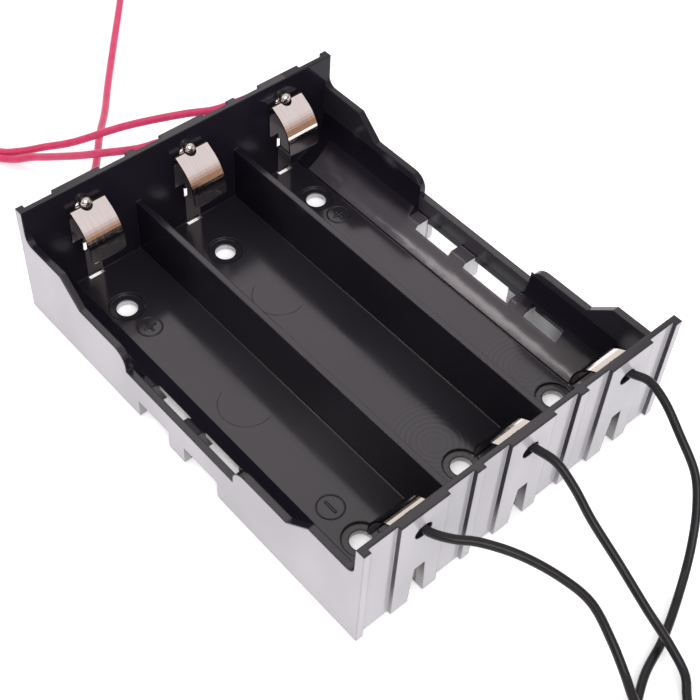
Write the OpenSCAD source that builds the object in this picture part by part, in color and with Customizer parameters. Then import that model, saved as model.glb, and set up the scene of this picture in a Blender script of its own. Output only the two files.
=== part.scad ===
// Open three-bay holder for cylindrical lithium cells.
// One black moulding carries six sprung nickel leaf contacts, and each contact has its own wire lead.
// Frame: X runs across the bays, Y along the cells towards the positive end, Z up.
// The origin is the centre of the underside.

/* [Cell] */
// Diameter of the cell that the bays take
cell_d = 18.3; // [17.8:0.1:19]
// Gap between the cell and the walls of its bay
cell_gap = 0.1; // [0.05:0.05:0.3]
// Length between the inner faces of the two end walls
bay_l = 74; // [72:0.5:78]

/* [Housing] */
// Height of the end walls
housing_h = 21; // [19:0.5:24]
// Thickness of the floor
floor_t = 1.4; // [1:0.1:2]
// Thickness of the side walls
side_t = 1.15; // [0.9:0.1:1.6]
// Thickness of the end walls at their ribs and panels
end_t = 1.5; // [1.3:0.1:2]
// Depth of the recesses between the ribs of the end walls
end_recess = 0.65; // [0.3:0.05:0.8]
// Thickness of the dividers between the bays
divider_t = 1.1; // [0.9:0.1:1.6]
// Height of the dividers
divider_h = 11.7; // [9:0.1:13]
// Height of the step from the flat channel up to the cradle beside it
cradle_step = 0.35; // [0.2:0.05:0.6]
// Half width of the flat channel under a cell
channel_half_w = 3.5; // [3:0.1:4.5]

/* [Side walls] */
// Height of the side wall next to the end walls
shoulder_h = 15; // [13:0.1:16]
// Height of the side wall beside the finger gap
grip_h = 11.2; // [10.6:0.1:12]
// Height of the side wall in the finger gap
gap_h = 7.8; // [6.5:0.1:9]
// Half length of the finger gap
gap_half_l = 12.5; // [10:0.5:15]
// Height of the ledge inside the finger gap
ledge_z = 4.4; // [3.8:0.1:5.2]
// Height of the notches under the side walls
side_notch_h = 3.4; // [2.5:0.1:3.6]
// Width of the slots beside the side walls
side_slot_w = 2.8; // [2.2:0.1:3]
// Width of the pockets under the cradle at those slots
side_pocket_w = 4.9; // [3.4:0.1:5]
// Thickness of the cradle over those pockets
side_shell_t = 0.7; // [0.6:0.05:1.2]

/* [End walls] */
// Width of the raised panel behind each contact
panel_w = 8.4; // [7.5:0.1:10]
// Width of the rib behind each divider
rib_w = 1.6; // [1.2:0.1:2.4]
// Width of the rib at each corner
corner_w = 1.2; // [1:0.1:2]
// Height of the tail notch under each contact, at the outer face
tail_notch_h = 7.8; // [6:0.1:9]
// Rise of the tail notch's sloping top towards the inner face
tail_notch_rise = 1.4; // [0:0.1:2]
// Depth of the tail notch's cut into the floor
tail_notch_in = 0.8; // [0.4:0.1:1.2]
// Width of the tail notch at its top
tail_notch_top_w = 1.9; // [1.6:0.1:2.4]
// Width of the tail notch at the underside
tail_notch_w = 2.9; // [2.6:0.1:3.6]
// Depth of the leads' centres below the top of the end walls
lead_depth = 4; // [3.4:0.1:5]
// Width of the hole that each lead passes through
wire_hole_w = 3; // [2.8:0.1:4]
// Height of that hole
wire_hole_h = 2.4; // [2:0.1:2.6]
// Drop of that hole's centre below its lead
wire_hole_drop = 0.3; // [0:0.05:0.4]

/* [Screw holes] */
// Diameter of the screw holes
screw_d = 3.4; // [3:0.1:3.8]
// Diameter of the recess for the screw's head
screw_head_d = 5.7; // [5:0.1:6.2]
// Depth of that recess
screw_head_depth = 0.4; // [0.2:0.05:0.7]
// Distance between the two screw holes of a bay
screw_span = 55.6; // [50:0.2:56]

/* [Contacts] */
// Thickness of the nickel strip
strip_t = 0.3; // [0.2:0.05:0.4]
// Width of the contact's leaf
leaf_w = 6.2; // [5:0.1:7.6]
// Width of the contact's tail
tail_w = 2.8; // [2:0.1:3.2]
// Depth of the nick in one side of the tail
tail_nick = 0.6; // [0.3:0.05:0.8]
// Height of the tail's end above the underside
tail_end_z = 1.5; // [0.8:0.1:2]
// Height of the shoulder between the tail and the leaf
tail_top_z = 10.5; // [9.5:0.1:12]
// Centre radius of the bend at the top
crown_r = 0.65; // [0.5:0.05:0.8]
// Length of the straight slope after that bend
slope_l = 1.4; // [1:0.1:1.8]
// Centre radius of the leaf's bow
bow_r = 6.2; // [5.6:0.1:6.8]
// Length of the straight face that presses on the cell
face_l = 1.4; // [1:0.1:2]
// Centre radius of the curl at the free end
curl_r = 0.9; // [0.6:0.1:1.2]
// Radius of the free end's corners
leaf_corner_r = 1.1; // [0.6:0.1:1.6]
// Diameter of the notch in the crown that takes the lead
crown_notch_d = 2.1; // [1.9:0.1:2.4]

/* [Leads] */
// Outer diameter of the leads
lead_d = 1.3; // [1.1:0.05:1.4]
// Diameter of the tinned bare ends
tip_d = 0.8; // [0.6:0.05:1]
// Length of the tinned bare ends
tip_l = 5; // [4:0.5:6]
// Radius of the solder joints
solder_r = 1.05; // [1:0.05:1.2]

/* [Hidden] */

$fn = 64;
eps = 0.01;

// Cells and bays
cell_count = 3;
cradle_r = cell_d / 2 + cell_gap;
cell_pitch = 2 * cradle_r + divider_t;
outer_bay_x = (cell_count - 1) / 2 * cell_pitch;
bays = [for (i = [0 : cell_count - 1]) i * cell_pitch - outer_bay_x];
dividers = [for (i = [1 : cell_count - 1]) (i - 0.5) * cell_pitch - outer_bay_x];

// Housing
inner_x = outer_bay_x + cradle_r;
outer_x = inner_x + side_t;
inner_y = bay_l / 2;
outer_y = inner_y + end_t;
cradle_z = floor_t + cradle_step + sqrt(pow(cradle_r, 2) - pow(channel_half_w, 2));
arc_steps = 6;

// Side wall outline, as distances along the wall from its middle
gap_round_r = gap_h / 3;
grip_end = 23.8;
shoulder_start = 28.2;
corner_fillet_r = 1.6;

// Slots beside the outer bays and notches under their walls, each as [start, end] along the wall
side_slots = [[2.3, 10.1], [-11.2, -1.1], [-21.7, -14.7]];
side_notches = [[2.6, 9.9], [-8.8, -1.1]];
side_slot_h = ledge_z + 1.2;

// Contacts, with distances along X from the middle of the bay and along Y from the end wall
leaf_x = 0.2;
tail_x = 0.3;
tail_nick_z = [7.3, 9.2];
lead_z = housing_h - lead_depth;
wire_hole_z = lead_z - wire_hole_drop;
crown_z = lead_z - 0.5;
crown_turn = 120;
bow_turn = 54;
curl_turn = 40;
strip_half = strip_t / 2;
crown_notch_y = crown_r + 0.1;
crown_notch_z = lead_z - lead_d / 2 - 0.1;
solder_at = [0.1, 0.4, lead_z + 0.5];

// Leads: each route starts at its solder joint and ends where its coil begins, bay by bay
coil_outer_r = 8.65;
coil_pitch = 1.35;
ring_sides = 8;
negative_routes = [
  [[-19.6, -37, lead_z], [-19.6, -39.6, lead_z], [-17.8, -42.2, 16.8], [-15.6, -43.9, 16.4], [-12, -48.2, 15],
   [-8.7, -53.3, 12.3], [-6.9, -57.3, 9.5], [-6.9, -61.7, 5.8], [-7.9, -65.6, 3.3],
   [-9.2, -68.3, 2.6], [-9.9, -71, 1.8], [-10, -74, 0.7], [-9.5, -78.4, 0.7]],
  [[0, -37, lead_z], [0.2, -39.6, lead_z], [1.2, -42.2, 16.5], [1.1, -45.6, 14.8], [1, -49.6, 12],
   [1, -55.3, 8.4], [0.6, -61.5, 5], [0.1, -66.8, 2.7], [-0.8, -70.4, 1.2], [-2.9, -72.6, 0.7],
   [-4.6, -75.2, 0.7], [-5.6, -78.2, 0.7], [-6, -85.4, 0.7]],
  [[19.6, -37, lead_z], [20.2, -39.2, lead_z], [21.2, -41, 16.9], [20.8, -44.2, 15.9], [19.8, -48.7, 13.6],
   [18.6, -53.4, 10.4], [16.5, -56.2, 7.8], [13.2, -59, 4.4], [8.2, -61.9, 1.7], [1.2, -65, 0.7],
   [-4.4, -66.7, 0.7], [-12, -70.6, 0.7], [-16.8, -72.4, 0.7], [-22.4, -73, 0.7]],
];
positive_routes = [
  [[-19.6, 37, lead_z], [-19.5, 39.8, lead_z], [-18, 42.6, 16.2], [-15.4, 45, 14.4], [-12, 48, 11.6],
   [-8.9, 50.8, 8.8], [-6.6, 54, 7.1], [-1.8, 60.5, 4.9], [3.6, 67.1, 2.8], [8.9, 74.1, 1.3],
   [15.5, 82.2, 0.7], [26.4, 95.1, 0.7], [29.1, 98.5, 0.7]],
  [[0, 37, lead_z], [-0.1, 39.8, lead_z], [-1.6, 42.4, 16.4], [-4.6, 44.6, 15], [-9, 49.9, 11.9],
   [-10.3, 53.3, 9.8], [-12.5, 61, 5.7], [-13.4, 64.2, 3.6], [-14.8, 67.2, 1.8], [-16.3, 70.3, 0.7],
   [-18.2, 72.8, 0.7], [-21.5, 73.6, 0.7], [-27.4, 73.6, 0.7]],
  [[19.6, 37, lead_z], [19.4, 39.8, lead_z], [17, 42.2, 16.8], [13.8, 43.2, 16.3], [10.6, 43.8, 15.5],
   [7, 46.8, 14.5], [-0.5, 53.3, 11.1], [-7.6, 60.3, 6.7], [-10.8, 64, 4.6], [-13.4, 67.9, 2.3],
   [-15.6, 71.6, 0.7], [-17, 75.2, 0.7], [-17.5, 79.4, 0.7]],
];
// Coils: centre X, centre Y, strands side by side, and direction in which the bare end points
negative_coils = [[-17.5, -83, 3, 162], [2, -90, 3, 154], [-27, -65, 3, -104]];
positive_coils = [[38.2, 96.9, 2, -83], [-32, 65.6, 3, 63], [-25.5, 84, 3, -112]];

// Points on an arc about a centre
function arc(centre, r, from, to, steps = arc_steps) =
  [for (i = [0 : steps]) let (a = from + (to - from) * i / steps) centre + r * [cos(a), sin(a)]];

function reversed(list) = [for (i = [len(list) - 1 : -1 : 0]) list[i]];

// ---- Housing ----

// Half of the side wall's top edge, from the finger gap out to the end wall
function side_edge() = concat(
  [[gap_half_l, gap_h]],
  arc([gap_half_l + gap_round_r, grip_h - gap_round_r], gap_round_r, 180, 90),
  [[grip_end, grip_h], [shoulder_start, shoulder_h]],
  arc([inner_y - corner_fillet_r, shoulder_h + corner_fillet_r], corner_fillet_r, 270, 360)
);

module side_wall() {
  edge = side_edge();
  top = concat([for (p = reversed(edge)) [-p[0], p[1]]], edge);
  rotate([90, 0, 90])
    linear_extrude(side_t)
      polygon(concat([[-inner_y - eps, 0]], top, [[inner_y + eps, 0]]));
}

module cradle() {
  rotate([90, 0, 0])
    linear_extrude(2 * inner_y, center = true)
      difference() {
        translate([outer_bay_x + channel_half_w, 0])
          square([cradle_r - channel_half_w + eps, cradle_z]);
        translate([outer_bay_x, cradle_z])
          circle(cradle_r);
      }
}

module finger_gap() {
  translate([outer_bay_x, -gap_half_l, ledge_z])
    cube([cradle_r + 2 * eps, 2 * gap_half_l, housing_h]);
}

// Pocket under the cradle, open at the underside
module side_pocket(length) {
  rotate([90, 0, 0])
    linear_extrude(length)
      difference() {
        translate([inner_x - side_pocket_w, -eps])
          square([side_pocket_w, side_slot_h]);
        translate([outer_bay_x, cradle_z])
          circle(cradle_r + side_shell_t);
      }
}

// Slots, pockets and notches that open the foot of one side wall
module side_openings() {
  for (s = side_slots) {
    translate([inner_x - side_slot_w, s[0], -eps])
      cube([side_slot_w, s[1] - s[0], side_slot_h]);
    translate([0, s[1], 0]) side_pocket(s[1] - s[0]);
  }
  for (s = side_notches)
    translate([inner_x - eps, s[0], -eps])
      cube([side_t + 2 * eps, s[1] - s[0], side_notch_h + eps]);
}

module side() {
  translate([inner_x, 0, 0]) side_wall();
  difference() {
    cradle();
    finger_gap();
  }
}

// Recesses in the outer face of one end wall, between its ribs and panels
module end_recesses() {
  rib_edges = concat(
    [-outer_x + corner_w],
    [for (x = dividers, side = [-1, 1]) x + side * rib_w / 2],
    [outer_x - corner_w]
  );
  for (i = [0 : cell_count - 1]) {
    left = rib_edges[2 * i];
    right = rib_edges[2 * i + 1];
    for (span = [[left, bays[i] - panel_w / 2], [bays[i] + panel_w / 2, right]])
      translate([span[0], outer_y - end_recess, -eps])
        cube([span[1] - span[0], end_recess + eps, housing_h + 2 * eps]);
  }
}

// Notch for a contact's tail, from the underside up
module tail_notch() {
  translate([0, outer_y + eps, 0])
    rotate([90, 0, 0])
      linear_extrude(end_t + tail_notch_in + eps)
        polygon([
          [-tail_notch_w / 2, -eps], [tail_notch_w / 2, -eps],
          [tail_notch_top_w / 2, tail_notch_h], [-tail_notch_top_w / 2, tail_notch_h]
        ]);
  tail_notch_slope(-tail_notch_top_w / 2, end_t);
  tail_notch_slope(-tail_w / 2, end_t / 2);
}

// Sloping top of the tail notch, from its left side and to a depth from the inner face
module tail_notch_slope(left, depth) {
  translate([left, inner_y, 0])
    rotate([90, 0, 90])
      linear_extrude(tail_notch_top_w / 2 - left)
        polygon([
          [-eps, tail_notch_h - 1], [depth, tail_notch_h - 1],
          [depth, tail_notch_h + tail_notch_rise * (1 - depth / end_t)],
          [-eps, tail_notch_h + tail_notch_rise]
        ]);
}

module wire_hole() {
  flat = wire_hole_w - wire_hole_h;
  translate([0, outer_y + eps, wire_hole_z])
    rotate([90, 0, 0])
      linear_extrude(end_t + 2 * eps) {
        for (x = [-flat / 2, flat / 2])
          translate([x, 0]) circle(d = wire_hole_h);
        square([flat, wire_hole_h], center = true);
      }
}

module end_wall() {
  difference() {
    translate([-outer_x, inner_y, 0])
      cube([2 * outer_x, end_t, housing_h]);
    end_recesses();
    for (x = bays) translate([x, 0, 0]) wire_hole();
  }
}

module screw_hole() {
  translate([0, 0, -eps])
    cylinder(d = screw_d, h = floor_t + 2 * eps);
  translate([0, 0, floor_t - screw_head_depth])
    cylinder(d = screw_head_d, h = screw_head_depth + eps);
}

module at_both_ends() {
  children();
  mirror([0, 1, 0]) children();
}

module housing() {
  color([0.1, 0.1, 0.11])
    difference() {
      union() {
        translate([-outer_x, -inner_y, 0])
          cube([2 * outer_x, 2 * inner_y, floor_t]);
        at_both_ends() end_wall();
        side();
        mirror([1, 0, 0]) side();
        for (x = dividers)
          translate([x - divider_t / 2, -inner_y, 0])
            cube([divider_t, 2 * inner_y, divider_h]);
      }
      for (side = [0, 1])
        mirror([side, 0, 0]) side_openings();
      at_both_ends()
        for (x = bays) translate([x + tail_x, 0, 0]) tail_notch();
      for (x = bays, y = [-screw_span / 2, screw_span / 2])
        translate([x, y, 0]) screw_hole();
    }
}

// ---- Contacts ----

// Outline of the folded strip, as [distance from the wall, height]
function strip_outline() =
  let (
    crown = [strip_half + crown_r, crown_z],
    crown_end = 180 - crown_turn,
    slope_start = crown + crown_r * [cos(crown_end), sin(crown_end)],
    bow_start = slope_start + slope_l * [sin(crown_end), -cos(crown_end)],
    bow = bow_start - bow_r * [cos(crown_end), sin(crown_end)],
    bow_end = crown_end - bow_turn,
    face_start = bow + bow_r * [cos(bow_end), sin(bow_end)],
    face_end = face_start + face_l * [sin(bow_end), -cos(bow_end)],
    curl = face_end - curl_r * [cos(bow_end), sin(bow_end)],
    outer = concat(
      arc(crown, crown_r + strip_half, 180, crown_end),
      arc(bow, bow_r + strip_half, crown_end, bow_end, 2 * arc_steps),
      arc(curl, curl_r + strip_half, bow_end, bow_end - curl_turn)
    ),
    inner = concat(
      arc(crown, crown_r - strip_half, 180, crown_end),
      arc(bow, bow_r - strip_half, crown_end, bow_end, 2 * arc_steps),
      arc(curl, curl_r - strip_half, bow_end, bow_end - curl_turn)
    )
  )
  concat([[0, tail_top_z]], outer, reversed(inner), [[strip_t, tail_top_z]]);

// Lowest point of the free end
function leaf_end_z() = min([for (p = strip_outline()) p[1]]);

module leaf() {
  difference() {
    rotate([90, 0, 90])
      linear_extrude(leaf_w, center = true)
        polygon(strip_outline());
    leaf_corners();
  }
}

// Rounds the two corners of the free end
module leaf_corners() {
  for (side = [0, 1])
    mirror([side, 0, 0])
      translate([leaf_w / 2 - leaf_corner_r, 2, leaf_end_z() + leaf_corner_r])
        difference() {
          translate([0, 0, -leaf_corner_r - eps])
            cube([leaf_corner_r + eps, 2 * bow_r, leaf_corner_r + eps]);
          rotate([-90, 0, 0])
            translate([0, 0, -eps])
              cylinder(r = leaf_corner_r, h = 2 * bow_r + 2 * eps);
        }
}

module tail() {
  difference() {
    translate([-tail_w / 2, 0, tail_end_z])
      cube([tail_w, strip_t, tail_top_z - tail_end_z + eps]);
    translate([-tail_w / 2 - eps, -eps, tail_nick_z[0]])
      cube([tail_nick + eps, strip_t + 2 * eps, tail_nick_z[1] - tail_nick_z[0]]);
  }
}

// Contact against a wall at Y = 0 that rises from the floor, with its leaf towards +Y
module contact() {
  difference() {
    union() {
      translate([leaf_x, 0, 0]) leaf();
      translate([tail_x, 0, 0]) tail();
    }
    translate([0, crown_notch_y, crown_notch_z])
      cylinder(d = crown_notch_d, h = housing_h);
  }
}

module solder() {
  difference() {
    translate(solder_at)
      sphere(solder_r);
    translate([solder_at[0] - solder_r, -2 * solder_r, solder_at[2] - solder_r])
      cube([2 * solder_r, 2 * solder_r, 2 * solder_r]);
    contact();
  }
}

// Places a piece at the end wall of a bay: end -1 is negative, end 1 is positive
module at_end_wall(bay, end) {
  translate([bays[bay], end * inner_y, 0])
    mirror([0, end > 0 ? 1 : 0, 0])
      children();
}

module nickel() { color([0.82, 0.80, 0.76]) children(); }
module tin() { color([0.66, 0.66, 0.68]) children(); }

module negative_contact(bay) { nickel() at_end_wall(bay, -1) contact(); }
module positive_contact(bay) { nickel() at_end_wall(bay, 1) contact(); }
module negative_solder(bay) { tin() at_end_wall(bay, -1) solder(); }
module positive_solder(bay) { tin() at_end_wall(bay, 1) solder(); }

// ---- Leads ----

function unit(v) = v / norm(v);

// Direction of a route at one of its points
function heading(route, i) =
  unit(route[min(i + 1, len(route) - 1)] - route[max(i - 1, 0)]);

// Ring of points round a route's point, square to its direction
function ring(route, i) =
  let (
    along = i == 0 ? [0, route[1][1] > route[0][1] ? 1 : -1, 0] : heading(route, i),
    across = unit(cross(along, [0, 0, 1])),
    up = cross(across, along)
  )
  [for (s = [0 : ring_sides - 1])
    let (a = 360 * (s + 0.5) / ring_sides)
    route[i] + lead_d / 2 * (cos(a) * across + sin(a) * up)];

module lead(route) {
  last = (len(route) - 1) * ring_sides;
  points = [for (i = [0 : len(route) - 1]) each ring(route, i)];
  walls = [for (i = [0 : len(route) - 2], s = [0 : ring_sides - 1])
    let (a = i * ring_sides + s, b = i * ring_sides + (s + 1) % ring_sides)
    [a, b, b + ring_sides, a + ring_sides]];
  ends = [
    [for (s = [ring_sides - 1 : -1 : 0]) s],
    [for (s = [0 : ring_sides - 1]) last + s]
  ];
  polyhedron(points, concat(walls, ends));
}

module coil(c) {
  translate([c[0], c[1], 0])
    rotate_extrude()
      translate([coil_outer_r - c[2] * coil_pitch, 0])
        square([c[2] * coil_pitch, lead_d]);
}

// Bare end of a lead, lying as a chord inside its coil
module tip(c) {
  hole_r = coil_outer_r - c[2] * coil_pitch - tip_d / 2 - 0.1;
  translate([c[0], c[1], lead_d / 2])
    rotate([0, 0, c[3]])
      translate([0, sqrt(pow(hole_r, 2) - pow(tip_l / 2, 2)), 0])
        rotate([0, 90, 0])
          cylinder(d = tip_d, h = tip_l, center = true);
}

module black() { color([0.08, 0.08, 0.09]) children(); }
module red() { color([0.85, 0.15, 0.3]) children(); }

housing();
negative_contact(0);  // negative_contact_1
negative_contact(1);  // negative_contact_2
negative_contact(2);  // negative_contact_3
positive_contact(0);  // positive_contact_1
positive_contact(1);  // positive_contact_2
positive_contact(2);  // positive_contact_3
negative_solder(0);  // negative_solder_1
negative_solder(1);  // negative_solder_2
negative_solder(2);  // negative_solder_3
positive_solder(0);  // positive_solder_1
positive_solder(1);  // positive_solder_2
positive_solder(2);  // positive_solder_3
black() lead(negative_routes[0]);  // negative_lead_1
black() lead(negative_routes[1]);  // negative_lead_2
black() lead(negative_routes[2]);  // negative_lead_3
red() lead(positive_routes[0]);  // positive_lead_1
red() lead(positive_routes[1]);  // positive_lead_2
red() lead(positive_routes[2]);  // positive_lead_3
black() coil(negative_coils[0]);  // negative_coil_1
black() coil(negative_coils[1]);  // negative_coil_2
black() coil(negative_coils[2]);  // negative_coil_3
red() coil(positive_coils[0]);  // positive_coil_1
red() coil(positive_coils[1]);  // positive_coil_2
red() coil(positive_coils[2]);  // positive_coil_3
tin() tip(negative_coils[0]);  // negative_tip_1
tin() tip(negative_coils[1]);  // negative_tip_2
tin() tip(negative_coils[2]);  // negative_tip_3
tin() tip(positive_coils[0]);  // positive_tip_1
tin() tip(positive_coils[1]);  // positive_tip_2
tin() tip(positive_coils[2]);  // positive_tip_3
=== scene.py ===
"""Three-bay holder for cylindrical cells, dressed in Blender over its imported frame."""
from math import atan, atan2, ceil, cos, pi, radians, sin
from types import SimpleNamespace

import bmesh
import bpy
from mathutils import Matrix, Vector


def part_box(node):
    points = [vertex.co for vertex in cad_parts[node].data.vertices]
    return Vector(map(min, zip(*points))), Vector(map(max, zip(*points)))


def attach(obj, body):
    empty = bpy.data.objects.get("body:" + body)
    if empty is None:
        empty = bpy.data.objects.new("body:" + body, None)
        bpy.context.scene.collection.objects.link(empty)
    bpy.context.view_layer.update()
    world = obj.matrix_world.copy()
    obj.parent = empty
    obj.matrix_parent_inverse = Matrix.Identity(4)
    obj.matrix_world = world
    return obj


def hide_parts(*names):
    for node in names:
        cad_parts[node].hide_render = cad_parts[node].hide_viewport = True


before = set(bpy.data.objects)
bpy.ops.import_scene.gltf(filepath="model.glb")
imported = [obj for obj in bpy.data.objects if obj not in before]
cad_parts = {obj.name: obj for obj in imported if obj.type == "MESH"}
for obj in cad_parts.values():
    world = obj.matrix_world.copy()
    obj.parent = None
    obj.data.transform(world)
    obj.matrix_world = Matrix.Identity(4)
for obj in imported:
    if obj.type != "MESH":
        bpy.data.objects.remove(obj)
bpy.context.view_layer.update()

MM = 0.001
ENDS = {"negative": -1, "positive": 1}
UP = Vector((0, 0, 1))

# Housing: half its length and width outside and between its walls, the floor's top and the bays' middles
OUTER_X, OUTER_Y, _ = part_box("housing")[1]
INNER_X = OUTER_X - 1.15 * MM
INNER_Y = OUTER_Y - 1.5 * MM
FLOOR_Z = 1.4 * MM

# Where the moulding's looks change: the cradles, and the slots under the finger gaps. HAIR and MARGIN keep
# a mask clear of a face's own plane, and a face counts as facing an axis when its normal has FACING of it.
CRADLE_X = 20.4 * MM
SLOT_X = 25.8 * MM
SLOT_Y = 24 * MM
SLOT_Z = 4.2 * MM
HAIR = 0.02 * MM
MARGIN = 0.05 * MM
FACING = 0.7

# Leads
LEAD_D = 1.3 * MM
LEAD_L = 150 * MM
TIP_D = 0.8 * MM
TIP_L = 5 * MM
COIL_R = 8 * MM
COIL_PITCH = 1.35 * MM
TIE_W = 1.3 * MM
TIE_LOCK = (1.7 * MM, 1.6 * MM, 0.7 * MM)


# ---- Objects ----

def add_object(name, data):
    """A new object in the scene."""
    item = bpy.data.objects.new(name, data)
    bpy.context.collection.objects.link(item)
    return item


def add_mesh(name, mesh, material, rounded=True):
    """Makes a piece from a bmesh. A rounded one is shaded smooth."""
    bmesh.ops.recalc_face_normals(mesh, faces=mesh.faces)
    for face in mesh.faces:
        face.smooth = rounded
    data = bpy.data.meshes.new(name)
    mesh.to_mesh(data)
    mesh.free()
    data.materials.append(material)
    return add_object(name, data)


def join_rows(mesh, rows):
    """Faces between rows of vertices that each close on themselves."""
    for low, high in zip(rows, rows[1:]):
        for k in range(len(low)):
            mesh.faces.new((low[k], low[k - 1], high[k - 1], high[k]))


def on_plane(angle):
    """The level direction at an angle from +X."""
    return Vector((cos(angle), sin(angle), 0))


# ---- Camera ----

def add_camera():
    """Looks down on the holder from its near left corner."""
    azimuth, elevation, roll = radians(-44.48), radians(50.10), radians(4.02)
    aim = Vector((0, 0, 10)) * MM
    back = Vector((sin(azimuth) * cos(elevation), -cos(azimuth) * cos(elevation), sin(elevation)))
    level_right = on_plane(azimuth)
    level_up = back.cross(level_right)
    right = level_right * cos(roll) + level_up * sin(roll)
    up = level_up * cos(roll) - level_right * sin(roll)
    data = bpy.data.cameras.new("camera")
    data.sensor_width = 36
    data.lens = 68.77
    data.clip_start = 0.01
    camera = add_object("camera", data)
    place = aim + (back * 200.4 + right * 1.73 - up * 5.37) * MM
    camera.matrix_world = Matrix.Translation(place) @ Matrix((right, up, back)).transposed().to_4x4()
    bpy.context.scene.camera = camera


# ---- Node helpers ----

def new_material(name, **sockets):
    """A material with one principled shader, whose plain values are set on its own sockets."""
    material = bpy.data.materials.new(name)
    material.use_nodes = True
    shader = material.node_tree.nodes["Principled BSDF"]
    for socket, value in sockets.items():
        shader.inputs[socket.replace("_", " ")].default_value = value
    return material, material.node_tree, shader


def add_node(tree, kind, *links, **settings):
    """Adds a node. links go to its inputs in order, and a number there is a plain value."""
    node = tree.nodes.new(kind)
    for key, value in settings.items():
        setattr(node, key, value)
    for i, source in enumerate(links):
        if source is None:
            continue
        if isinstance(source, bpy.types.NodeSocket):
            tree.links.new(source, node.inputs[i])
        else:
            node.inputs[i].default_value = source
    return node


def calc(tree, operation, *inputs):
    """A maths node. With more than two inputs the operation is applied again to each one."""
    result = add_node(tree, "ShaderNodeMath", *inputs[:2], operation=operation).outputs[0]
    for value in inputs[2:]:
        result = add_node(tree, "ShaderNodeMath", result, value, operation=operation).outputs[0]
    return result


def object_axes(tree):
    """Object coordinates as X, Y and Z outputs, in metres."""
    coordinates = add_node(tree, "ShaderNodeTexCoord").outputs["Object"]
    return coordinates, add_node(tree, "ShaderNodeSeparateXYZ", coordinates).outputs


def stretched_noise(tree, vector, scales, scale, detail=3.0):
    """Noise drawn out along the axes that have small scales."""
    mapping = add_node(tree, "ShaderNodeMapping", vector)
    mapping.inputs["Scale"].default_value = scales
    noise = add_node(tree, "ShaderNodeTexNoise", mapping.outputs[0])
    noise.inputs["Scale"].default_value = scale
    noise.inputs["Detail"].default_value = detail
    return noise.outputs["Fac"]


def ramp(tree, factor, *stops):
    """Colour ramp with (position, colour) stops."""
    node = add_node(tree, "ShaderNodeValToRGB", factor)
    elements = node.color_ramp.elements
    while len(elements) < len(stops):
        elements.new(0.5)
    for element, (position, colour) in zip(elements, stops):
        element.position = position
        element.color = (*colour, 1)
    return node.outputs["Color"]


def bump(tree, shader, height, strength, distance, normal=None):
    """Bumps a shader's normal by a height, over another normal where one is given."""
    node = add_node(tree, "ShaderNodeBump")
    if normal is not None:
        tree.links.new(normal, node.inputs["Normal"])
    node.inputs["Strength"].default_value = strength
    node.inputs["Distance"].default_value = distance
    tree.links.new(height, node.inputs["Height"])
    tree.links.new(node.outputs["Normal"], shader.inputs["Normal"])


def masked(tree, *conditions):
    """1 where every condition holds. A condition is (value, "<" or ">", limit)."""
    tests = [
        calc(tree, "LESS_THAN" if sign == "<" else "GREATER_THAN", value, limit)
        for value, sign, limit in conditions
    ]
    return calc(tree, "MULTIPLY", *tests) if len(tests) > 1 else tests[0]


def fade(tree, value, low, high, at_low, at_high):
    """Smooth change from one number to another as the value goes from low to high."""
    node = add_node(tree, "ShaderNodeMapRange", value, low, high, at_low, at_high,
                    interpolation_type="SMOOTHSTEP")
    return node.outputs[0]


def mix(tree, factor, below, above):
    """Colour that goes over from below to above; a colour may be a socket or a plain value."""
    node = add_node(tree, "ShaderNodeMix", data_type="RGBA")
    tree.links.new(factor, node.inputs["Factor"])
    for colour, socket in ((below, node.inputs["A"]), (above, node.inputs["B"])):
        if isinstance(colour, tuple):
            socket.default_value = (*colour, 1)
        else:
            tree.links.new(colour, socket)
    return node.outputs["Result"]


# ---- Materials ----

def read_surface(tree):
    """Where a point of the moulding lies and which way it faces, as node outputs.

    far is the distance from a middle plane, and out is how much a face looks away from it. level is 1 on a
    level face and 0 on an upright one. rounded is the normal with softened edges, and tilt is its height.
    """
    position, (x, y, z) = object_axes(tree)
    normal = add_node(tree, "ShaderNodeNewGeometry").outputs["Normal"]
    face_x, face_y, face_z = add_node(tree, "ShaderNodeSeparateXYZ", normal).outputs
    rounded = add_node(tree, "ShaderNodeBevel", 0.4 * MM, samples=6).outputs[0]
    return SimpleNamespace(
        position=position, x=x, y=y, z=z, face_x=face_x, face_y=face_y, face_z=face_z,
        far_x=calc(tree, "ABSOLUTE", x), far_y=calc(tree, "ABSOLUTE", y),
        out_x=calc(tree, "MULTIPLY", face_x, calc(tree, "SIGN", x)),
        out_y=calc(tree, "MULTIPLY", face_y, calc(tree, "SIGN", y)),
        level=calc(tree, "ABSOLUTE", face_z),
        rounded=rounded, tilt=add_node(tree, "ShaderNodeSeparateXYZ", rounded).outputs[2])


def swirl_height(tree, at):
    """Turned rings left by the tool in the floors of two bays."""
    ring_pitch = 0.85 * MM
    total = None
    for x, y in ((-0.3, -22.4), (20.4, -21.2)):
        across = calc(tree, "SUBTRACT", at.x, x * MM)
        along = calc(tree, "SUBTRACT", at.y, y * MM)
        squares = [calc(tree, "MULTIPLY", value, value) for value in (across, along)]
        far = calc(tree, "SQRT", calc(tree, "ADD", *squares))
        rings = calc(tree, "SINE", calc(tree, "MULTIPLY", far, 2 * pi / ring_pitch))
        rings = calc(tree, "MULTIPLY", rings, fade(tree, far, 5 * MM, 11 * MM, 1, 0),
                     fade(tree, far, 0.5 * MM, 3 * MM, 0.2, 1))
        total = rings if total is None else calc(tree, "ADD", total, rings)
    return calc(tree, "MULTIPLY", total, masked(tree, (at.z, "<", FLOOR_Z + MARGIN)))


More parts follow.
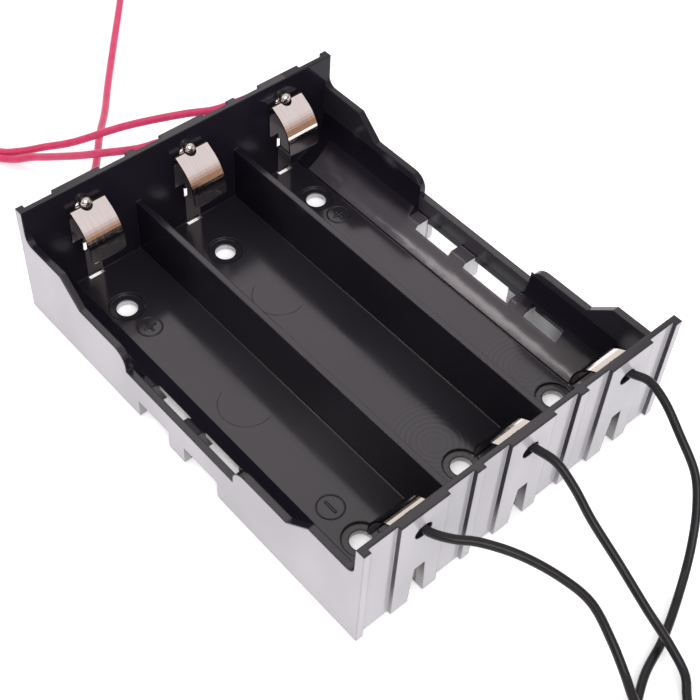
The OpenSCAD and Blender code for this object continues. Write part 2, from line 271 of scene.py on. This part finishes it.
def outer_reflection_mask(tree, at):
    """The outer walls, up to the rounding of their top edges, which carry the painted reflection of the white
    surroundings.
    """
    side = masked(tree, (at.far_x, ">", OUTER_X - 0.1 * MM), (at.out_x, ">", FACING))
    end = masked(tree, (at.far_y, ">", OUTER_Y - 1.0 * MM), (at.out_y, ">", FACING))
    return calc(tree, "MULTIPLY", calc(tree, "MAXIMUM", side, end), fade(tree, at.tilt, 0.08, 0.5, 1, 0))


def lit_mask(tree, at):
    """Where painted light stands for what the pale ground lights: the walls' feet, the screw holes and the
    faces of the slots.
    """
    beyond = calc(tree, "MAXIMUM", masked(tree, (at.far_x, ">", INNER_X + MARGIN)),
                  masked(tree, (at.far_y, ">", INNER_Y + MARGIN)))
    foot = calc(tree, "MULTIPLY", beyond, masked(tree, (at.level, "<", 0.5)),
                fade(tree, at.z, 0, 9 * MM, 0.45, 0))
    hole = masked(tree, (at.level, "<", 0.5), (at.far_x, "<", 23 * MM), (at.far_y, "<", INNER_Y - 1 * MM))
    hole = calc(tree, "MULTIPLY", hole, fade(tree, at.z, 0.6 * MM, 1.1 * MM, 0.8, 0))
    slot_end = masked(tree, (at.x, ">", SLOT_X), (at.z, "<", SLOT_Z), (at.face_y, "<", -FACING),
                      (at.far_y, "<", SLOT_Y))
    slot_side = masked(tree, (at.x, ">", INNER_X - HAIR), (at.z, "<", 3.1 * MM), (at.face_x, "<", -FACING))
    near_strip = masked(tree, (at.x, "<", -22 * MM), (at.x, ">", -28 * MM), (at.z, "<", SLOT_Z),
                        (at.face_x, "<", -FACING), (at.far_y, "<", SLOT_Y))
    return calc(tree, "MAXIMUM", foot, hole, slot_end, slot_side, near_strip)


def third_slot_mask(tree, at):
    """The nearest slot at +X, whose faces are painted with less light."""
    third = masked(tree, (at.y, "<", -13 * MM), (at.x, ">", SLOT_X))
    return calc(tree, "MULTIPLY", third, fade(tree, at.y, -22 * MM, -17.5 * MM, 1, 0))


def painted_grey_light_mask(tree, at):
    """Painted light, a lighter grey than the black plastic: the wall above the slots at +X, the slot ends at
    -X and the cradle at +X, where more light falls.
    """
    inner = masked(tree, (at.x, ">", INNER_X - HAIR), (at.face_x, "<", -FACING), (at.z, ">", 4.9 * MM))
    inner = calc(tree, "MULTIPLY", inner, fade(tree, at.far_y, 11.5 * MM, 14.5 * MM, 1, 0.3))
    slot_end = masked(tree, (at.x, "<", -SLOT_X), (at.z, "<", SLOT_Z), (at.face_y, "<", -FACING),
                      (at.far_y, "<", SLOT_Y))
    cradle = masked(tree, (at.x, ">", CRADLE_X), (at.x, "<", INNER_X - HAIR),
                    (at.z, ">", FLOOR_Z + 0.1 * MM), (at.z, "<", 6 * MM),
                    (at.face_z, ">", 0.2), (at.far_y, "<", 34 * MM))
    middle = fade(tree, at.far_y, 11.5 * MM, 14 * MM, 1, 0)
    low = fade(tree, at.z, 2.8 * MM, 5.2 * MM, 1, 0.1)
    cradle = calc(tree, "MULTIPLY", cradle, fade(tree, at.y, -30 * MM, -16 * MM, 0.7, 1.25),
                  calc(tree, "MAXIMUM", middle, low))
    return calc(tree, "MAXIMUM", inner, slot_end, cradle)


def dull_mask(tree, at):
    """Less glossy: the dividers' -X faces, the -X ledges, the far end wall and the +X cradle's far half."""
    face = masked(tree, (at.face_x, "<", -0.6), (at.far_x, "<", 15 * MM), (at.z, ">", FLOOR_Z))
    ledge = masked(tree, (at.x, "<", -25.5 * MM), (at.z, ">", 3.5 * MM), (at.z, "<", 5.5 * MM),
                   (at.far_y, "<", 14 * MM), (at.level, ">", FACING))
    wall = masked(tree, (at.face_y, "<", -FACING), (at.y, ">", 33 * MM))
    cradle = masked(tree, (at.x, ">", CRADLE_X), (at.z, ">", FLOOR_Z + 0.1 * MM))
    cradle = calc(tree, "MULTIPLY", cradle, fade(tree, at.y, 9 * MM, 15 * MM, 0, 0.9))
    return calc(tree, "MAXIMUM", face, ledge, wall, cradle)


def moulding_material():
    """Glossy black plastic. Its outer walls carry a painted reflection of the white surroundings. Its feet,
    slot faces and screw holes carry painted light from the pale ground. Its floors, +X cradle and the faces
    by the slots are painted a lighter grey as painted light. The edges along the top stay dark.
    """
    material, tree, shader = new_material("moulding", IOR=1.5)
    at = read_surface(tree)
    rings = swirl_height(tree, at)
    gloss = fade(tree, dull_mask(tree, at), 0, 1, 0.5, 0.2)
    gloss = calc(tree, "SUBTRACT", gloss, calc(tree, "MULTIPLY", rings, 0.05))
    tree.links.new(gloss, shader.inputs["Specular IOR Level"])

    clouds = stretched_noise(tree, at.position, (1, 1, 1), 60)
    tree.links.new(fade(tree, clouds, 0.3, 0.7, 0.12, 0.18), shader.inputs["Roughness"])
    # Painted light: the level floors of the bays are painted a lighter black than the walls, for the light
    # that falls on them from above.
    ground = masked(tree, (at.z, "<", FLOOR_Z + MARGIN), (at.level, ">", 0.9))
    colour = ramp(tree, clouds, (0.3, (0.011, 0.009, 0.015)), (0.75, (0.016, 0.014, 0.021)))
    colour = mix(tree, ground, colour, (0.021, 0.018, 0.025))
    # Painted light: a lighter grey on the cradle at +X, on the wall above the slots and on the slot ends.
    colour = mix(tree, painted_grey_light_mask(tree, at), colour, (0.074, 0.065, 0.08))
    # Painted light: faces that the pale ground lights through the slots and holes are painted near white, and
    # those of the nearest slot at +X a darker grey.
    painted_ground_light = mix(tree, third_slot_mask(tree, at), (0.9, 0.89, 0.91), (0.25, 0.24, 0.26))
    colour = mix(tree, lit_mask(tree, at), colour, painted_ground_light)
    # Painted reflection: the outer walls are painted pale for the white surroundings that the black plastic
    # mirrors there.
    soft = stretched_noise(tree, at.position, (1, 1, 0.5), 90, 1.0)
    pale = ramp(tree, soft, (0.3, (0.46, 0.44, 0.475)), (0.7, (0.55, 0.525, 0.565)))
    tree.links.new(mix(tree, outer_reflection_mask(tree, at), colour, pale), shader.inputs["Base Color"])

    grain = stretched_noise(tree, at.position, (1, 0.25, 1), 1500, 4.0)
    waves = stretched_noise(tree, at.position, (1, 1, 1), 350, 1.0)
    waves = calc(tree, "MULTIPLY", waves, masked(tree, (at.level, "<", 0.97), (at.level, ">", 0.3)), 9)
    height = calc(tree, "ADD", grain, calc(tree, "MULTIPLY", rings, 0.2), waves)
    bump(tree, shader, height, 0.25, 0.02 * MM, at.rounded)
    return material


def nickel_material():
    """Bright nickel plating with faint rolling lines along the strip."""
    material, tree, shader = new_material("nickel", Metallic=1.0)
    position, _ = object_axes(tree)
    lines = stretched_noise(tree, position, (1, 0.05, 0.05), 3500)
    colour = ramp(tree, lines, (0.35, (0.74, 0.69, 0.67)), (0.65, (0.80, 0.75, 0.73)))
    tree.links.new(colour, shader.inputs["Base Color"])
    tree.links.new(fade(tree, lines, 0.3, 0.7, 0.07, 0.12), shader.inputs["Roughness"])
    bump(tree, shader, lines, 0.08, 0.01 * MM)
    return material


def solder_material(name="solder", roughness=0.08):
    """Tin with a faintly uneven skin."""
    material, tree, shader = new_material(name, Metallic=1.0, Roughness=roughness)
    position, _ = object_axes(tree)
    skin = stretched_noise(tree, position, (1, 1, 1), 1800)
    colour = ramp(tree, skin, (0.3, (0.55, 0.54, 0.53)), (0.7, (0.78, 0.77, 0.75)))
    tree.links.new(colour, shader.inputs["Base Color"])
    bump(tree, shader, skin, 0.3, 0.05 * MM)
    return material


def insulation_material(name, low, high, roughness, specular):
    """Extruded PVC: even colour with a faint drawn skin."""
    material, tree, shader = new_material(name, IOR=1.5, Roughness=roughness, Specular_IOR_Level=specular)
    position, _ = object_axes(tree)
    skin = stretched_noise(tree, position, (1, 1, 1), 700)
    tree.links.new(ramp(tree, skin, (0.3, low), (0.7, high)), shader.inputs["Base Color"])
    bump(tree, shader, skin, 0.2, 0.02 * MM)
    return material


# ---- Leads ----

# Free stretches in millimetres, bay by bay: solder joint to the point where the coil begins
ROUTES = {
    "negative": [
        [(-19.6, -37, 17), (-19.5, -39.4, 17.3), (-17.8, -42.1, 17.2), (-15.6, -44, 16.7),
         (-12, -48.2, 15.1), (-8.7, -53.3, 12.3), (-6.9, -57.3, 9.5), (-6.9, -61.7, 5.8),
         (-7.9, -65.6, 3.3), (-9.2, -68.3, 2.6), (-9.9, -71, 1.8), (-10, -74, 0.7),
         (-9.5, -78.4, 0.7), (-9.5, -83, 0.7)],
        [(0, -37, 17), (0.2, -39.4, 17.5), (0.9, -42.2, 17.1), (1.1, -45.6, 15.1), (1, -49.6, 12),
         (1, -55.3, 8.4), (0.6, -61.5, 5), (0.1, -66.8, 2.7), (-0.8, -70.4, 1.2),
         (-2.9, -72.6, 0.7), (-4.6, -75.2, 0.7), (-5.6, -78.2, 0.7), (-6, -85.4, 0.7),
         (-6, -90, 0.7)],
        [(19.6, -37, 17), (20.1, -39.2, 17.4), (20.9, -41.1, 17.3), (20.8, -44.2, 16.2),
         (19.8, -48.7, 13.6), (18.6, -53.4, 10.4), (16.5, -56.2, 7.8), (13.2, -59, 4.4),
         (8.2, -61.9, 1.7), (1.2, -65, 0.7), (-4.4, -66.7, 0.7), (-12, -70.6, 0.7),
         (-16.8, -72.4, 0.7), (-22.4, -73, 0.7), (-27, -73, 0.7)],
    ],
    "positive": [
        [(-19.6, 37, 17), (-19.5, 39.6, 17), (-18.2, 42.2, 15.9), (-15.6, 44.6, 13.4), (-12.2, 47.6, 10.4),
         (-9.3, 50.5, 8.1), (-6.6, 54, 6.8), (-1.8, 60.5, 4.9), (3.6, 67.1, 2.8), (8.9, 74.1, 1.3),
         (15.5, 82.2, 0.7), (26.4, 95.1, 0.7), (29.1, 98.5, 0.7), (32.04, 102.01, 0.7)],
        [(0, 37, 17), (-0.1, 39.6, 17), (-1.5, 42, 15.8), (-4.4, 44.1, 14.6), (-8.9, 49.8, 12),
         (-10.3, 53.3, 9.9), (-12.5, 61, 5.4), (-13.4, 64.2, 3.6), (-14.8, 67.2, 1.8),
         (-16.3, 70.3, 0.7), (-18.2, 72.8, 0.7), (-21.5, 73.6, 0.7), (-27.4, 73.6, 0.7),
         (-32, 73.6, 0.7)],
        [(19.6, 37, 17), (19.4, 39.4, 17), (17.3, 41.6, 15.9), (13.9, 42.7, 15.4), (10.4, 43.7, 15.1),
         (6.8, 46.7, 14.2), (-0.5, 53.3, 11.1), (-7.6, 60.3, 6.4), (-10.8, 64, 4.6),
         (-13.2, 67.9, 2.3), (-15.4, 71.7, 0.7), (-17, 75.2, 0.7), (-17.5, 79.4, 0.7),
         (-17.5, 84, 0.7)],
    ],
}


def smooth(points, step=0.8 * MM):
    """A centripetal Catmull-Rom curve through the points, with a point at about every step."""
    ends = [2 * points[0] - points[1], *points, 2 * points[-1] - points[-2]]
    curve = [points[0]]
    for four in zip(ends, ends[1:], ends[2:], ends[3:]):
        knots = [0]
        for a, b in zip(four, four[1:]):
            knots.append(knots[-1] + (b - a).length ** 0.5)
        count = max(2, ceil((four[2] - four[1]).length / step))
        for i in range(1, count + 1):
            t = knots[1] + (knots[2] - knots[1]) * i / count
            # Neighbours are blended, then the results over two knots, and last over the middle one
            row = list(four)
            for first, reach in ((0, 1), (0, 2), (1, 1)):
                row = [
                    a.lerp(b, (t - knots[first + k]) / (knots[first + k + reach] - knots[first + k]))
                    for k, (a, b) in enumerate(zip(row, row[1:]))
                ]
            row[0].z = max(row[0].z, LEAD_D / 2)
            curve.append(row[0])
    return curve


def path_length(points):
    """The length along a row of points."""
    return sum((b - a).length for a, b in zip(points, points[1:]))


def coil_path(centre, start, turn, turns, hole_r):
    """A flat spiral from start inwards, then an arc on to the chord along which the bare end lies.

    turn is 1 or -1 for the way round, and hole_r is the room that the strands leave inside the coil.
    Gives the path and the bare end's direction.
    """
    arm = start - centre
    angle = atan2(arm.y, arm.x)
    steps, bend_steps = ceil(turns * 40), 10
    path = []
    for i in range(1, steps + 1):
        swept = 2 * pi * turns * i / steps
        radius = COIL_R - COIL_PITCH * swept / (2 * pi)
        path.append(centre + radius * on_plane(angle + turn * swept))
    end_angle = angle + turn * 2 * pi * turns
    end_r = COIL_R - COIL_PITCH * turns
    chord_r = (hole_r ** 2 - (TIP_L / 2) ** 2) ** 0.5
    bend = 2 * atan((end_r - chord_r) / (TIP_L / 2))
    bend_r = end_r - TIP_L / 2 / sin(bend)
    hub = centre + (end_r - bend_r) * on_plane(end_angle)
    for i in range(1, bend_steps + 1):
        path.append(hub + bend_r * on_plane(end_angle + turn * bend * i / bend_steps))
    return path, on_plane(end_angle + turn * (bend + pi / 2))


def add_curve(name, points, diameter, material):
    """A round wire along the points."""
    data = bpy.data.curves.new(name, "CURVE")
    data.dimensions = "3D"
    data.bevel_depth = diameter / 2
    data.bevel_resolution = 4
    data.use_fill_caps = True
    spline = data.splines.new("POLY")
    spline.points.add(len(points) - 1)
    for point, place in zip(spline.points, points):
        point.co = (*place, 1)
    data.materials.append(material)
    return add_object(name, data)


def add_tip(name, start, direction, material):
    """Seven tinned strands twisted into one bare end."""
    around, steps, sides, twists = 6, 20, 8, 1.5
    strand_r = TIP_D / 6
    side = direction.cross(UP)
    mesh = bmesh.new()
    for strand in range(around + 1):
        swing = 0 if strand == around else 2 * strand_r
        rings = []
        for i in range(steps + 1):
            turn = 2 * pi * (twists * i / steps + strand / around)
            middle = start + direction * (i / steps * TIP_L)
            middle = middle + swing * (cos(turn) * side + sin(turn) * UP)
            rings.append([
                mesh.verts.new(middle + strand_r * (cos(a) * side + sin(a) * UP))
                for a in (2 * pi * k / sides for k in range(sides))
            ])
        join_rows(mesh, rings)
        mesh.faces.new(rings[0])
        mesh.faces.new(reversed(rings[-1]))
    return add_mesh(name, mesh, material)


def add_tie(name, centre, angle, inner, outer, material):
    """A flat band round a coil's strands, which lie from inner to outer, with its lock on top."""
    radial = on_plane(angle)
    along = on_plane(angle + pi / 2)
    ground = Vector((centre.x, centre.y, 0))
    lead_r = LEAD_D / 2
    steps, inside, outside = 24, 0.02 * MM, 0.12 * MM
    mesh = bmesh.new()
    rows = []
    for k in range(steps):
        a = 2 * pi * (k + 0.5) / steps
        hub = outer - lead_r if cos(a) > 0 else inner + lead_r
        corners = []
        for proud, side in ((inside, -1), (outside, -1), (outside, 1), (inside, 1)):
            reach = lead_r + proud
            height = max(0, centre.z + reach * sin(a))
            place = ground + radial * (hub + reach * cos(a)) + along * (side * TIE_W / 2)
            corners.append(mesh.verts.new(place + height * UP))
        rows.append(corners)
    join_rows(mesh, rows + rows[:1])
    lock_place = ground + radial * (inner + outer) / 2 + (centre.z + lead_r + 0.4 * MM) * UP
    turned = Matrix((radial, along, UP)).transposed().to_4x4()
    size = Matrix.Diagonal((*TIE_LOCK, 1))
    lock = bmesh.ops.create_cube(mesh, size=1, matrix=Matrix.Translation(lock_place) @ turned @ size)
    edges = {edge for vert in lock["verts"] for edge in vert.link_edges}
    bmesh.ops.bevel(mesh, geom=list(edges), offset=0.15 * MM, segments=2, affect="EDGES")
    return add_mesh(name, mesh, material, rounded=False)


def add_lead(end, bay, insulation, tinned, tie_material):
    """One lead, from its solder joint to its bare end, over its plain solids in the frame.

    The number of turns is halved in on until the lead has its length.
    """
    name = f"{end}_lead_{bay + 1}"
    coil_node = f"{end}_coil_{bay + 1}"
    low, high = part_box(coil_node)
    centre = (Vector(low) + Vector(high)) / 2
    free = smooth([Vector(p) * MM for p in ROUTES[end][bay]])
    start, heading = free[-1], (free[-1] - free[-2]).normalized()
    centre.z = start.z
    turn = 1 if heading.cross(centre - start).z > 0 else -1
    # Strands side by side that the hole inside the coil allows for
    strands = 2 if (end, bay) == ("positive", 0) else 3
    hole_r = COIL_R + LEAD_D / 2 - strands * COIL_PITCH - TIP_D / 2 - 0.1 * MM
    fewest, most = 0.5, 3.0
    for _ in range(30):
        turns = (fewest + most) / 2
        rest, direction = coil_path(centre, start, turn, turns, hole_r)
        if path_length(free + rest) < LEAD_L - TIP_L:
            fewest = turns
        else:
            most = turns
    path = free + rest
    lead = add_curve(f"{name}_wire", path, LEAD_D, insulation)
    tip = add_tip(f"{name}_bare_end", path[-1], direction, tinned)

    # The tie sits in the middle of the arc where the most strands lie side by side
    arm = start - centre
    swept = pi * (turns % 1)
    angle = atan2(arm.y, arm.x) + turn * swept
    outer = COIL_R - COIL_PITCH * swept / (2 * pi) + LEAD_D / 2
    inner = outer - COIL_PITCH * int(turns) - LEAD_D
    tie = add_tie(f"{name}_tie", centre, angle, inner, outer, tie_material)

    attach(lead, "root")
    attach(tip, "root")
    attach(tie, "root")
    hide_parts(name, coil_node)
    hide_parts(f"{end}_tip_{bay + 1}")


def add_leads():
    """The three leads of each end. The black insulation's material serves the ties too."""
    tinned = solder_material("tinned_strands", 0.28)
    insulations = {
        "negative": insulation_material("black_pvc", (0.006, 0.006, 0.008), (0.012, 0.012, 0.015), 0.28, 0.3),
        "positive": insulation_material("red_pvc", (0.66, 0.038, 0.13), (0.78, 0.055, 0.18), 0.36, 0.4),
    }
    for end in ENDS:
        for bay in range(3):
            add_lead(end, bay, insulations[end], tinned, insulations["negative"])


# ---- Marks in the floors ----

def ring_path(x, y, radius, start=0, sweep=360):
    """Points of a ring or of an arc round a place in a floor, in millimetres and degrees."""
    steps = max(12, ceil(sweep / 8))
    return [
        (Vector((x, y, 0)) + radius * on_plane(radians(start + sweep * i / steps))) * MM
        for i in range(steps + 1)
    ]


def add_ridges(name, ridges, material):
    """Low rounded ridges on the floors, each as (path, width, height, length of its tapered ends)."""
    half_sides, sunk = 6, 0.01 * MM
    mesh = bmesh.new()
    for path, width, height, taper in ridges:
        closed = (path[0] - path[-1]).length < 0.001 * MM
        rows = []
        for i, place in enumerate(path):
            ahead = path[min(i + 1, len(path) - 1)] - path[max(i - 1, 0)]
            if closed and i in (0, len(path) - 1):
                ahead = path[1] - path[-2]
            across = Vector((ahead.y, -ahead.x, 0)).normalized()
            to_end = min(path_length(path[:i + 1]), path_length(path[i:]))
            size = 1 if closed else max(0.1, (1 - max(0, 1 - to_end / taper) ** 2) ** 0.5)
            rows.append([
                mesh.verts.new(place + size * width / 2 * cos(a) * across
                               + (FLOOR_Z - sunk + size * height * sin(a)) * UP)
                for a in (pi * k / half_sides for k in range(half_sides + 1))
            ])
        for low, high in zip(rows, rows[1:]):
            for k in range(half_sides):
                mesh.faces.new((low[k], low[k + 1], high[k + 1], high[k]))
        if not closed:
            mesh.faces.new(rows[0])
            mesh.faces.new(reversed(rows[-1]))
    piece = add_mesh(name, mesh, material)
    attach(piece, "root")


def bar_path(x, y, dx, dy):
    """Points of a straight stroke through a place in a floor, in millimetres."""
    return [Vector((x + dx * i / 12, y + dy * i / 12, 0)) * MM for i in range(-12, 13)]


def add_marks():
    """Polarity signs in their rings, and the rings that the ejector pins left."""
    material, tree, shader = new_material("marks", IOR=1.5, Roughness=0.25)
    position, _ = object_axes(tree)
    skin = stretched_noise(tree, position, (1, 1, 1), 900)
    tree.links.new(ramp(tree, skin, (0.3, (0.006, 0.005, 0.008)), (0.7, (0.014, 0.012, 0.016))),
                   shader.inputs["Base Color"])
    ring_form = (0.3 * MM, 0.14 * MM, 0)
    stroke_form = (0.5 * MM, 0.2 * MM, 0.25 * MM)
    pin_form = (0.16 * MM, 0.035 * MM, 2.5 * MM)
    strokes, rings = [], []
    for x, y in ((-19.3, 22.1), (20.0, 22.4)):
        rings.append(ring_path(x, y, 1.95))
        strokes += [bar_path(x, y, 1.15, 0), bar_path(x, y, 0, 1.15)]
    rings.append(ring_path(-19.45, -21.1, 2.05))
    strokes.append(bar_path(-19.45, -21.1, 0, 1.3))
    signs = [(path, *ring_form) for path in rings] + [(path, *stroke_form) for path in strokes]
    add_ridges("polarity_signs", signs, material)
    arcs = [ring_path(x, y, 4.3, 105, 190) for x, y in ((-17.2, 0.75), (0.5, 14.6))]
    add_ridges("ejector_rings", [(path, *pin_form) for path in arcs], material)


# ---- Frame nodes ----

def dress(node, material):
    """Gives a frame node its material."""
    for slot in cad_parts[node].material_slots:
        slot.material = material


def dress_frame():
    """Materials of the pieces that stay as the frame has them."""
    dress("housing", moulding_material())
    nickel = nickel_material()
    solder = solder_material()
    for end in ENDS:
        for bay in (1, 2, 3):
            dress(f"{end}_contact_{bay}", nickel)
            dress(f"{end}_solder_{bay}", solder)


# ---- Studio ----

def add_surround():
    """Plain white light. Glossy surfaces mirror a pale room, which is brown low down towards -Y."""
    world = bpy.data.worlds.new("studio")
    bpy.context.scene.world = world
    world.use_nodes = True
    tree = world.node_tree
    plain = tree.nodes["Background"]
    plain.inputs["Color"].default_value = (1, 1, 1, 1)
    rays = add_node(tree, "ShaderNodeLightPath").outputs
    # It lights the part at 0.75 and shows as pure white
    tree.links.new(fade(tree, rays["Is Camera Ray"], 0, 1, 0.75, 1), plain.inputs["Strength"])
    coordinates = add_node(tree, "ShaderNodeTexCoord").outputs["Generated"]
    way = add_node(tree, "ShaderNodeSeparateXYZ", coordinates).outputs
    low = ramp(tree, way[2], (0.22, (0.42, 0.24, 0.15)), (0.62, (0.90, 0.83, 0.84)))
    back = masked(tree, (way[1], "<", 0))
    room = mix(tree, back, (0.92, 0.86, 0.80), low)
    mirrored = add_node(tree, "ShaderNodeBackground", room)
    shown = add_node(tree, "ShaderNodeMixShader", rays["Is Glossy Ray"], plain.outputs[0],
                     mirrored.outputs[0])
    tree.links.new(shown.outputs[0], tree.nodes["World Output"].inputs["Surface"])


def add_studio():
    """A pale floor, soft lamps and a white surround."""
    floor_mesh = bpy.data.meshes.new("studio_floor")
    half, level = 2.0, -0.2 * MM
    corners = [(-half, -half, level), (half, -half, level), (half, half, level), (-half, half, level)]
    floor_mesh.from_pydata(corners, [], [(0, 1, 2, 3)])
    floor = add_object("studio_floor", floor_mesh)
    material, tree, shader = new_material("floor", Base_Color=(0.93, 0.92, 0.93, 1), Roughness=0.9,
                                          Emission_Color=(1, 1, 1, 1))
    rays = add_node(tree, "ShaderNodeLightPath").outputs
    # A glow that only the camera and mirrored rays see brings the floor up to white
    glow = 0.4
    seen = calc(tree, "MAXIMUM", rays["Is Camera Ray"], rays["Is Glossy Ray"])
    tree.links.new(calc(tree, "MULTIPLY", seen, glow), shader.inputs["Emission Strength"])
    floor_mesh.materials.append(material)
    add_surround()

    for name, place, size, power, tint in (
        ("key", (-0.25, 0.32, 0.68), 0.15, 0.5, (1, 0.93, 0.9)),
        ("ceiling", (0.40, 0.41, 0.69), 0.45, 0.55, (0.95, 0.88, 1)),
        ("fill", (-0.15, -0.55, 0.5), 0.5, 2.1, (1, 1, 1)),
    ):
        data = bpy.data.lights.new(name, "AREA")
        data.size = size
        data.energy = power
        data.color = tint
        lamp = add_object(name, data)
        lamp.location = place
        lamp.rotation_euler = (-Vector(place)).to_track_quat("-Z", "Y").to_euler()

    bpy.context.scene.view_settings.view_transform = "Standard"


add_camera()
add_leads()
add_marks()
dress_frame()
add_studio()
